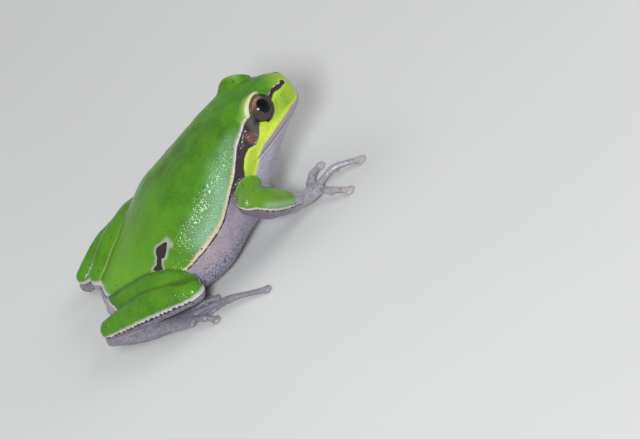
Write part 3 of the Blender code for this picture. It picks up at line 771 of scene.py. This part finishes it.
# Head, trunk and limbs melted together, their joins softened, and then the small forms pushed in and out
def makeSkin():
    forms = [bodyForm()] + [limbForm(rows) for rows in limbRows.values()]
    for side in (-1, 1):
        forms.append(ballForm(eyePoint("lid", side), np.array(eyeSizes["lidSizes"]) * (0.93 if side > 0 else 1.0)))
    points, faces, edges = melted(forms, 0.25)
    points = relaxed(points, edges, np.full(len(points), 0.5), 6, firm=1.03)
    depths = [bodyDepth(points)] + [limbPlace(points, rows)[2] for rows in limbRows.values()]
    depths = np.sort(np.abs(np.array(depths)), axis=0)
    arms = easing(19.0, 21.0, points[:, 0])
    crease = bell(depths[1], 0, 0.5 + 0.5 * arms) * (points[:, 0] < 34)
    points = relaxed(points, edges, crease * (0.4 + 0.2 * arms), 20)
    groove = bell(depths[1], depths[0], 0.22) * (depths[1] < 0.7) * (1 - arms) * (points[:, 1] < 0)
    points = points - normalsOf(points, faces) * (0.14 * groove)[:, None]
    between = np.maximum(*(np.abs(limbPlace(points, limbRows[name])[2]) for name in ("thighLeft", "shankLeft")))
    pressed = bell(between, 0, 1.3) * (1 - easing(9.5, 11.5, points[:, 0])) * (points[:, 2] > 3.0)
    points = relaxed(points, edges, 0.9 * pressed, 70)
    points, faces, edges = finer(points, faces, points[:, 0] > 30.2)
    points = relaxed(points, edges, np.where(points[:, 0] > 29.8, 0.5, 0.0), 4, firm=1.03)
    normals = normalsOf(points, faces)
    points = points + normals * shapeHead(points)[:, None]
    points = shapeLids(points)
    reach = np.minimum(*(np.linalg.norm(points - eyePoint("centre", side), axis=1) for side in (-1, 1)))
    far = points[:, 1] > 1.0
    ring = easing(2.6 - 0.15 * far, 3.0, reach) * (1 - easing(4.2 + 0.9 * far, 4.8 + 1.2 * far, reach))
    points = relaxed(points, edges, 0.5 * ring, 10)
    points = relaxed(points, edges, 0.6 * ring * far * easing(14.0, 15.5, points[:, 2]), 30)
    wrinkle = 0.07 * cloudy(points, 2.2, 1) + 0.04 * cloudy(points, 0.9, 2)
    points = points + normalsOf(points, faces) * wrinkle[:, None] * (np.where(points[:, 0] > 33, 0.3, 1.0))[:, None]
    points[:, 2] = np.maximum(points[:, 2], 0.0)
    obj = addPiece("skin", points, faces, markingsAndPaintedLight(points))
    print("skin:", len(faces), "triangles")
    return obj


# A digit's thickness at five places along it, as shares of its own, and the height of its disc in millimetres
digitSizes = {
    "stations": (0, 0.5, 1.0, 1.55, 2.0),
    "widths": (1.0, 0.82, 0.95, 0.74, 0.8),
    "discHeight": 0.40,
}


# A hand or foot: a palm, digits that thin towards a round disc, and webs, melted together
def makeExtremity(name, rows, thick, disc, reach, dull=0.0):
    forms = [limbForm(rows["palm"], 30, 36)]
    for points in rows["digits"]:
        b, c = np.array(points)[1:]
        knots = flowing(np.array(points), np.array(digitSizes["stations"]))
        sizes = thick * np.array(digitSizes["widths"])
        forms.append(limbForm(np.column_stack([knots, sizes, sizes * 0.95]), 40, 20))
        forms.append(ballForm(c, (disc, disc, digitSizes["discHeight"])))
        forms.append(ballForm(b + (0, 0, -0.15), (thick * 1.05, thick * 1.05, thick * 1.0)))
    if reach:
        for first, second in zip(rows["digits"], rows["digits"][1:]):
            forms.append(webForm(np.array(first), np.array(second), 2 * reach))
    points, faces, edges = melted(forms, 0.115)
    points = relaxed(points, edges, np.full(len(points), 0.5), 8, firm=1.03)
    points = points + normalsOf(points, faces) * (0.03 * cloudy(points, 0.5, 5))[:, None]
    points[:, 2] = np.maximum(points[:, 2], 0.0)
    tips = np.array([points[-1] for points in rows["digits"]])
    toTip = np.linalg.norm(points[:, None, :2] - tips[None, :, :2], axis=2).min(1)
    values = {"tip": np.clip(1.4 - toTip, -1, 1.4), "dull": np.full(len(points), dull)}
    obj = addPiece(name, points, faces, values)
    print(name + ":", len(faces), "triangles")
    return obj


# Eyes

# The eyeball as rings round its gaze, with the clear front swelling a little; the left one sits deeper in its lids,
# so that the photo's side doesn't show it over the brow
def makeEye(name, side):
    centre = eyePoint("centre", side) - (eyeSizes["leftSunk"] if side > 0 else 0.0) * eyeFrame(side)[0]
    axis = unit(mirrored(eyeSizes["gaze"], side))
    across = unit(np.cross(axis, (0, 0, 1)))
    over = np.cross(across, axis)
    tilt = np.concatenate([np.linspace(0.01, 1.3, 70), np.linspace(1.33, np.pi - 0.02, 30)])
    turn = turns(96)
    radius = eyeSizes["radius"] + eyeSizes["cornea"] * bell(tilt, 0, 0.62)
    ring = np.sin(tilt)[:, None, None] * (np.cos(turn)[None, :, None] * across + np.sin(turn)[None, :, None] * over)
    shell = centre + radius[:, None, None] * (np.cos(tilt)[:, None, None] * axis + ring)
    points, faces = closedForm(shell)
    away = unit(points - centre)
    flat = away - (away @ axis)[:, None] * axis
    values = {
        "tilt": np.arccos(np.clip(away @ axis, -1, 1)),
        "flatX": flat @ across, "flatY": flat @ over, "upward": away @ unit(np.array([-0.44, -0.46 * side, 0.74])),
    }
    return addPiece(name, points, faces, values)


# The lid's moist edge: a thin round bead that follows the opening
def makeLidEdge(name, side):
    centre = eyePoint("centre", side)
    axis, long, short = eyeFrame(side)
    steps, around = 160, 16
    turn, bead = turns(steps), turns(around)
    rim = (rimAngle(np.cos(turn), np.sin(turn)) + 0.015)[:, None]
    out = np.cos(turn)[:, None] * long + np.sin(turn)[:, None] * short
    path = (eyeSizes["radius"] + eyeSizes["beadLift"][side > 0]) * (np.cos(rim) * axis + np.sin(rim) * out)
    lift = unit(path)
    beside = unit(np.cross(np.roll(path, -1, 0) - np.roll(path, 1, 0), lift))
    ring = np.cos(bead)[None, :, None] * lift[:, None] + np.sin(bead)[None, :, None] * beside[:, None]
    points = (centre + path[:, None] + eyeSizes["bead"] * ring).reshape(-1, 3)
    i = np.arange(steps)[:, None] * around
    j = (i + around) % (steps * around)
    k, l = np.arange(around)[None, :], (np.arange(around) + 1)[None, :] % around
    a, b, c, d = (i + k).ravel(), (i + l).ravel(), (j + l).ravel(), (j + k).ravel()
    faces = np.concatenate([np.stack([a, b, c], 1), np.stack([a, c, d], 1)])
    if ((points - centre - np.repeat(path, around, 0)) * normalsOf(points, faces)).sum() < 0:
        faces = faces[:, ::-1]
    return addPiece(name, points, faces, {"lidTop": np.repeat(out @ unit(np.array([-0.55, 0.0, 0.84])), around)})


# Materials

# Gives a socket a link or a constant; a name stands for the number that the mesh carries per point under that name
def feed(tree, slot, value):
    if isinstance(value, str):
        value = addNode(tree, "Attribute", attribute_name=value)["Fac"]
    if hasattr(value, "is_output"):
        tree.links.new(value, slot)
    else:
        slot.default_value = (*value, 1.0) if slot.type == "RGBA" else value


# A node with its settings, and its inputs by name or number
def addNode(tree, kind, inputs=(), **settings):
    node = tree.nodes.new("ShaderNode" + kind)
    for label, setting in settings.items():
        setattr(node, label, setting)
    for label, value in dict(inputs).items():
        feed(tree, node.inputs[label], value)
    return node.outputs


# A new material with its node tree and its shader, which gets the constants
def newMaterial(name, constants):
    material = bpy.data.materials.new(name)
    material.use_nodes = True
    shader = material.node_tree.nodes["Principled BSDF"]
    for label, value in constants.items():
        shader.inputs[label].default_value = value
    return material, material.node_tree, shader


# One step of arithmetic on sockets or numbers
def addMath(tree, operation, *values):
    return addNode(tree, "Math", enumerate(values), operation=operation)[0]


# value times factor, plus another value
def scaled(tree, value, factor, plus=0.0):
    return addMath(tree, "MULTIPLY_ADD", value, factor, plus)


# An S from start at low to end at high; it falls where low is above high
def addStep(tree, value, low, high, start=0.0, end=1.0):
    inputs = {"Value": value, "From Min": low, "From Max": high, "To Min": start, "To Max": end}
    return addNode(tree, "MapRange", inputs, interpolation_type="SMOOTHSTEP")["Result"]


# Colours laid over each other: each pair is a share and a colour, and gives last (1 - share) + colour share
def layered(tree, colour, *layers):
    for share, paint in layers:
        colour = addNode(tree, "Mix", {0: share, 6: colour, 7: paint}, data_type="RGBA")[2]
    return colour


# Object coordinates in millimetres, so that every size below is a real one
def addPlace(tree):
    place = addNode(tree, "TexCoord")["Object"]
    return addNode(tree, "VectorMath", {0: place, "Scale": 1000.0}, operation="SCALE")[0]


# Cloudy noise from 0 to 1, of so many waves per millimetre
def addNoise(tree, place, perMillimetre, detail=2.0, roughness=0.5):
    inputs = {"Vector": place, "Scale": perMillimetre, "Detail": detail, "Roughness": roughness}
    return addNode(tree, "TexNoise", inputs)["Fac"]


# Small relief for the shader and its coat; the distance is in metres
def addBump(tree, shader, height, distance):
    normal = addNode(tree, "Bump", {"Height": height, "Distance": distance})["Normal"]
    for label in ("Normal", "Coat Normal"):
        feed(tree, shader.inputs[label], normal)


# An empty node group, with the kind of each input and output under its name
def newGroup(name, inputs, outputs):
    group = bpy.data.node_groups.new(name, "ShaderNodeTree")
    for way, sockets in (("INPUT", inputs), ("OUTPUT", outputs)):
        for label, kind in sockets.items():
            group.interface.new_socket(label, in_out=way, socket_type="NodeSocket" + kind)
    return group, group.nodes.new("NodeGroupInput").outputs, group.nodes.new("NodeGroupOutput").inputs


# Moist pebbled skin: rounded cells and fine grain as one height, and the cells' valleys as a mask
def makePebbleGroup():
    inputs = {"Place": "Vector", "Cells per mm": "Float", "Amount": "Float"}
    group, given, made = newGroup("pebbledSkin", inputs, {"Height": "Float", "Valleys": "Float"})
    inputs = {"Vector": given["Place"], "Scale": given["Cells per mm"], "Smoothness": 0.35}
    cells = addNode(group, "TexVoronoi", inputs, feature="SMOOTH_F1")["Distance"]
    domes = addMath(group, "MULTIPLY", addStep(group, cells, 0.05, 0.75, 1.0, 0.0), given["Amount"])
    grain = addNoise(group, given["Place"], 7.0, 3.0, 0.6)
    feed(group, made["Height"], scaled(group, grain, 0.22, domes))
    feed(group, made["Valleys"], addStep(group, cells, 0.4, 0.8))
    return group


# Uneven pigment from 0 to 1: broad clouds, small flecks and sparse dots; and a ragged value round 0 for the borders
def makeMottleGroup():
    outputs = dict.fromkeys(("Clouds", "Flecks", "Ragged", "Dots"), "Float")
    group, given, made = newGroup("mottledPigment", {"Place": "Vector"}, outputs)
    place = given["Place"]
    feed(group, made["Clouds"], addStep(group, addNoise(group, place, 0.28, 3.0, 0.55), 0.3, 0.7))
    feed(group, made["Flecks"], addStep(group, addNoise(group, place, 3.2, 3.0, 0.65), 0.35, 0.68))
    feed(group, made["Ragged"], addMath(group, "SUBTRACT", addNoise(group, place, 1.5, 3.0, 0.6), 0.5))
    speck = addNode(group, "TexVoronoi", {"Vector": place, "Scale": 0.75})
    small, rare = addStep(group, speck["Distance"], 0.17, 0.07), addStep(group, speck["Color"], 0.58, 0.62)
    feed(group, made["Dots"], addMath(group, "MULTIPLY", small, rare))
    return group


# Thin lilac-grey skin of hands and feet, with dark flecks and clouds
def makeThinSkinGroup():
    inputs = {"Place": "Vector", "Lilac": "Color", "Dark": "Color"}
    group, given, made = newGroup("thinLilacSkin", inputs, {"Colour": "Color"})
    flecks = addStep(group, addNoise(group, given["Place"], 3.4, 4.0, 0.7), 0.46, 0.66)
    clouds = addStep(group, addNoise(group, given["Place"], 0.9, 2.0, 0.5), 0.35, 0.75)
    layers = [(scaled(group, share, factor), given["Dark"]) for share, factor in ((flecks, 0.75), (clouds, 0.35))]
    feed(group, made["Colour"], layered(group, given["Lilac"], *layers))
    return group


skinLook = {
    "backGreen": (0.034, 0.132, 0.002),
    "leafGreen": (0.076, 0.245, 0.008),
    "rumpGreen": (0.155, 0.400, 0.024),
    "limeGreen": (0.60, 0.72, 0.055),
    "limeDeep": (0.25, 0.44, 0.04),
    # painted sheen: pale bluish green for the highlight on the flank and the forearms
    "sheenGreen": (0.30, 0.50, 0.35),
    "dots": (0.03, 0.06, 0.01),
    # fold: dark olive for the painted shade in the creases and beside the ridge line, and for the darker streak along
    # the back
    "fold": (0.040, 0.085, 0.004),
    "ridge": (0.36, 0.46, 0.13),
    "cream": (0.60, 0.59, 0.42),
    "creamWarm": (0.60, 0.48, 0.30),
    "white": (0.53, 0.52, 0.49),
    "lilac": (0.40, 0.34, 0.43),
    "lilacDark": (0.15, 0.135, 0.17),
    "pink": (0.42, 0.325, 0.345),
    "throat": (0.40, 0.38, 0.44),
    "belly": (0.42, 0.39, 0.42),
    # dusk: dark brownish lilac for the painted shade under the fringes, under the forearms and beside the upper arm
    "underShade": (0.135, 0.105, 0.125),
    "granule": (0.30, 0.30, 0.395),
    "granuleGap": (0.048, 0.046, 0.075),
    "band": (0.036, 0.020, 0.024),
    "patch": (0.085, 0.080, 0.064),
    "halo": (0.34, 0.38, 0.30),
    "lidGreen": (0.34, 0.52, 0.10),
    "lidCream": (0.60, 0.61, 0.34),
    "lidDark": (0.03, 0.022, 0.02),
    "drum": (0.17, 0.075, 0.050),
    "drumDark": (0.085, 0.045, 0.035),
    "lip": (0.29, 0.24, 0.225),
    "mouth": (0.035, 0.02, 0.018),
}
skinShine = {
    "Specular IOR Level": 0.15,
    "Coat Weight": 0.50,
    "Coat Roughness": 0.16,
    "Subsurface Weight": 0.06,
    "Subsurface Scale": 0.001,
}
thinLook = {
    "lilac": (0.40, 0.37, 0.42),
    "dark": (0.11, 0.102, 0.135),
    "disc": (0.44, 0.41, 0.41),
}
thinShine = {
    "Coat Weight": 0.7,
    "Coat Roughness": 0.14,
    "Subsurface Weight": 0.12,
    "Subsurface Scale": 0.001,
}


# Green back, cream edge, dark band, lilac flank and fringes, each laid over the last where its depth is above zero
def makeSkinMaterial(pebbles, mottle, thin):
    material, tree, shader = newMaterial("wetFrogSkin", skinShine)
    look = skinLook
    times, step, lay = partial(scaled, tree), partial(addStep, tree), partial(layered, tree)
    place = addPlace(tree)
    mottled = addNode(tree, "Group", {"Place": place}, node_tree=mottle)
    clouds, flecks, ragged = (mottled[label] for label in ("Clouds", "Flecks", "Ragged"))
    grains = addNode(tree, "Group", {"Place": place, "Cells per mm": 3.3, "Amount": 1.0}, node_tree=pebbles)
    inputs = {"Place": place, "Lilac": thinLook["lilac"], "Dark": thinLook["dark"]}
    thinSkin = addNode(tree, "Group", inputs, node_tree=thin)["Colour"]
    thinSkin = lay(thinSkin, (times("dull", 0.5), thinLook["dark"]))
    green = times(ragged, 0.32, "green")
    lime = lay(look["limeGreen"], (times(clouds, 0.45), look["limeDeep"]))
    cream = lay(look["cream"], (clouds, look["creamWarm"]), ("white", look["white"]))
    back = lay(
        look["backGreen"],
        (clouds, look["leafGreen"]),
        (times(flecks, 0.6), look["leafGreen"]),
        (times("bright", 0.7), look["rumpGreen"]),
        # painted sheen: the highlight laid in as pale bluish green
        (times("sheen", 0.72), look["sheenGreen"]),
        (times(mottled["Dots"], 0.85), look["dots"]),
        # painted shade in the creases and beside the ridge, and the darker streak on the back
        (times("shadeAndStreak", 0.7), look["fold"]),
        ("yellow", lime),
        (step(green, "creamWidth", times("creamWidth", 0.35)), cream),
        (step("ridge", -0.08, 0.08, 0.0, 0.65), look["ridge"]),
    )
    flank = lay(
        look["lilac"],
        (times(clouds, 0.5), look["lilacDark"]),
        (times("pink", 0.8), look["pink"]),
        (times(flecks, 0.4), look["lilacDark"]),
        ("throat", lay(look["throat"], (times(flecks, 0.45), look["lilac"]))),
        # painted shade under the fringes and arms
        ("underShade", look["underShade"]),
        (times("granule", 0.88), lay(look["granule"], (grains["Valleys"], look["granuleGap"]))),
        (times("belly", 0.5), look["belly"]),
        ("digit", thinSkin),
    )
    upperLid = times(step("lidBack", 0.0, 0.45), step("green", -0.1, 0.2))
    colour = lay(
        back,
        (step(times(ragged, 1.3, "digit"), 0.25, 0.8), thinSkin),
        (step(green, 0.04, -0.04), flank),
        (step(times(ragged, 0.2, "lip"), -0.2, 0.2), look["lip"]),
        (step(times(ragged, 0.25, "band"), -0.06, 0.06), lay(look["band"], ("patch", look["patch"]))),
        (times(upperLid, step("lidGap", 1.7, 0.5, 0.0, 0.55)), look["lidGreen"]),
        (times(upperLid, step("lidGap", 0.80, 0.30)), look["lidCream"]),
        (times(step("lidBack", 0.1, 0.35), step("lidGap", 0.18, 0.08)), look["lidDark"]),
        (step("drum", -0.08, 0.1), lay(look["drum"], (flecks, look["drumDark"]))),
        (step(times(ragged, 0.4, "halo"), -0.30, 0.22, 0.0, 0.9), look["halo"]),
        (step(times(ragged, 0.25, "spot"), -0.05, 0.05), look["band"]),
        (step("mouth", -0.05, 0.05), look["mouth"]),
    )
    feed(tree, shader.inputs["Base Color"], colour)
    feed(tree, shader.inputs["Roughness"], step(flecks, 0.0, 1.0, 0.34, 0.46))
    pebbled = addNode(tree, "Group", {"Place": place, "Cells per mm": 3.1, "Amount": "pebble"}, node_tree=pebbles)
    addBump(tree, shader, times(grains["Height"], "granule", pebbled["Height"]), 0.00006)
    return material


# Hands and feet: thin lilac skin with paler discs, and darker on the feet
def makeHandMaterial(pebbles, mottle, thin):
    material, tree, shader = newMaterial("thinDigitSkin", thinShine)
    place = addPlace(tree)
    clouds = addNode(tree, "Group", {"Place": place}, node_tree=mottle)["Clouds"]
    inputs = {"Place": place, "Lilac": thinLook["lilac"], "Dark": thinLook["dark"]}
    thinSkin = addNode(tree, "Group", inputs, node_tree=thin)["Colour"]
    disc = (addStep(tree, "tip", 0.4, 0.8, 0.0, 0.7), thinLook["disc"])
    darkened = (scaled(tree, "dull", 0.5), thinLook["dark"])
    feed(tree, shader.inputs["Base Color"], layered(tree, thinSkin, disc, darkened))
    feed(tree, shader.inputs["Roughness"], addStep(tree, clouds, 0.0, 1.0, 0.32, 0.44))
    pebbled = addNode(tree, "Group", {"Place": place, "Cells per mm": 3.4, "Amount": 0.7}, node_tree=pebbles)
    addBump(tree, shader, pebbled["Height"], 0.00004)
    return material


eyeLook = {
    "pupil": (0.41, 0.51),
    "iris": 1.2,
    "black": (0.001, 0.001, 0.002),
    "copper": (0.42, 0.245, 0.15),
    "bronze": (0.066, 0.052, 0.050),
    "rim": (0.012, 0.009, 0.009),
}
eyeShine = {
    "Roughness": 0.3,
    "Specular IOR Level": 0.1,
    "Coat Weight": 1.0,
    "Coat IOR": 1.27,
    "Coat Roughness": 0.015,
}


# Copper iris with dark veins round an oval pupil, where (x / wide)^2 + (y / high)^2 is below one
def makeEyeMaterial():
    material, tree, shader = newMaterial("wetEye", eyeShine)
    look = eyeLook
    x, y = (addMath(tree, "DIVIDE", flat, size) for flat, size in zip(("flatX", "flatY"), look["pupil"]))
    reach = addMath(tree, "SQRT", scaled(tree, x, x, scaled(tree, y, y)))
    veins = addNoise(tree, addPlace(tree), 7.0, 5.0, 0.75)
    upper = scaled(tree, addMath(tree, "SUBTRACT", veins, 0.5), 0.6, "upward")
    feed(tree, shader.inputs["Base Color"], layered(
        tree, look["bronze"],
        (addStep(tree, upper, 0.10, 0.50), look["copper"]),
        (addStep(tree, veins, 0.42, 0.62, 0.0, 0.7), look["rim"]),
        (addStep(tree, "tilt", 1.0, look["iris"]), look["rim"]),
        (addStep(tree, reach, 1.04, 0.97), look["black"]),
    ))
    return material


lidLook = {
    "dark": (0.028, 0.02, 0.02),
    "brown": (0.09, 0.075, 0.055),
}
lidShine = {
    "Roughness": 0.5,
    "Specular IOR Level": 0.2,
    "Coat Weight": 0.25,
    "Coat Roughness": 0.25,
}


# Dark and moist, a little browner at the top
def makeLidMaterial():
    material, tree, shader = newMaterial("moistLidEdge", lidShine)
    flecks = addMath(tree, "SUBTRACT", addNoise(tree, addPlace(tree), 4.0, 3.0, 0.6), 0.5)
    top = addStep(tree, scaled(tree, flecks, 0.4, "lidTop"), 0.1, 0.6)
    feed(tree, shader.inputs["Base Color"], layered(tree, lidLook["dark"], (top, lidLook["brown"])))
    return material


# Floor, lights and camera

# A plain pale floor, for the picture only
def makeFloor():
    size = 0.9
    corners = np.array([(-size, -size, 0), (size, -size, 0), (size, size, 0), (-size, size, 0)])
    floor = addObject("floor", meshFrom("floor", corners, np.array([(0, 1, 2), (0, 2, 3)])))
    material, tree, shader = newMaterial("paleFloor", {"Roughness": 0.7})
    grain = addNoise(tree, addPlace(tree), 0.02)
    feed(tree, shader.inputs["Base Color"], layered(tree, (0.60, 0.60, 0.59), (grain, (0.64, 0.64, 0.63))))
    floor.data.materials.append(material)


# Puts a camera or a light at its place: right, up and back are its axes
def addViewed(name, data, right, up, back, place):
    obj = addObject(name, data)
    obj.matrix_world = Matrix([[right[k], up[k], back[k], place[k]] for k in range(3)] + [[0, 0, 0, 1]])
    return obj


# Round soft lights: place in metres, size, power, colour, and whether they show as a highlight
studioLights = {
    "key": ((-0.02, -0.40, 0.305), 0.11, 1.9, (0.97, 0.99, 1.0), True),
    "front": ((0.45, 0.05, 0.30), 0.30, 0.8, (1, 1, 1), False),
    "back": ((-0.25, 0.20, 0.50), 0.45, 0.6, (1, 1, 1), False),
}
room = {
    "target": (0, 0, 0.01),
    "colour": (0.96, 0.98, 1.0),
    "strength": 0.36,
}


# A key light from the frog's right and two soft fills, each facing the target, and a dim even room
def makeLights():
    world = bpy.data.worlds.new("softRoom")
    bpy.context.scene.world = world
    world.use_nodes = True
    background = world.node_tree.nodes["Background"]
    background.inputs["Color"].default_value = (*room["colour"], 1.0)
    background.inputs["Strength"].default_value = room["strength"]
    for name, (place, size, power, colour, glossy) in studioLights.items():
        light = bpy.data.lights.new(name, "AREA")
        light.shape = "DISK"
        light.size, light.energy, light.color = size, power, colour
        back = unit(np.array(place, float) - room["target"])
        right = unit(np.cross((0, 0, 1), back))
        addViewed(name, light, right, np.cross(back, right), back, place).visible_glossy = glossy
    bpy.context.scene.view_settings.view_transform = "Standard"


cameraView = {
    "azimuth": -6.0,
    "elevation": 34.0,
    "roll": 39.0,
    "distance": 0.48,
    "pixelsPerMetre": 6800.0,
    "vent": (0.0, 0.0, 2.5),
    "ventPixel": (113.0, 301.0),
    "picture": (640, 439),
    "sensor": 36.0,
}


# The camera looks from the frog's right and from above, and is turned about its own axis as the photo's is. It is
# placed so that the vent falls on its pixel of the picture
def makeCamera():
    v = cameraView
    a, e, r = (np.radians(v[k]) for k in ("azimuth", "elevation", "roll"))
    back = np.array([-np.sin(a) * np.cos(e), -np.cos(a) * np.cos(e), np.sin(e)])
    level = np.array([np.cos(a), -np.sin(a), 0.0])
    upright = np.cross(back, level)
    right = np.cos(r) * level - np.sin(r) * upright
    up = np.sin(r) * level + np.cos(r) * upright
    dx, dy = (np.array(v["ventPixel"]) - np.array(v["picture"]) / 2) / v["pixelsPerMetre"]
    camera = bpy.data.cameras.new("camera")
    camera.sensor_width = v["sensor"]
    camera.lens = v["pixelsPerMetre"] * v["distance"] / v["picture"][0] * v["sensor"]
    camera.clip_start, camera.clip_end = 0.01, 10.0
    place = (np.array(v["vent"]) + ventInFrame) * mm - right * dx + up * dy + back * v["distance"]
    bpy.context.scene.camera = addViewed("camera", camera, right, up, back, place)


makeCamera()
makeLights()
makeFloor()
print("camera, lights and floor in place")

pebbles, mottle, thin = makePebbleGroup(), makeMottleGroup(), makeThinSkinGroup()
skinMaterial = makeSkinMaterial(pebbles, mottle, thin)
handMaterial = makeHandMaterial(pebbles, mottle, thin)
eyeMaterial = makeEyeMaterial()
lidMaterial = makeLidMaterial()
print("materials ready")

skin = makeSkin()
skin.data.materials.append(skinMaterial)
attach(skin, "root")
limbs = ("upper_arm", "forearm", "thigh", "shank", "tarsus")
limbNodes = [limb + side for limb in limbs for side in ("_right", "_left")]
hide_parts("head", "lower_jaw", "trunk", "eardrum_right", "eardrum_left", *limbNodes)

for side, label in ((-1, "Right"), (1, "Left")):
    hand = makeExtremity("hand" + label, handRows[label], 0.6, 0.82, 0.0)
    foot = makeExtremity("foot" + label, footRows[label], 0.55, 0.70, 0.5, 1.0)
    for piece, node in ((hand, "hand_"), (foot, "foot_")):
        piece.data.materials.append(handMaterial)
        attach(piece, "root")
        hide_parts(node + label.lower())
    eye = makeEye("eye" + label, side)
    eye.data.materials.append(eyeMaterial)
    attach(eye, "root")
    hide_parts("eye_" + label.lower())
    edge = makeLidEdge("lidEdge" + label, side)
    edge.data.materials.append(lidMaterial)
    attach(edge, "root")
print("hands, feet and eyes ready")
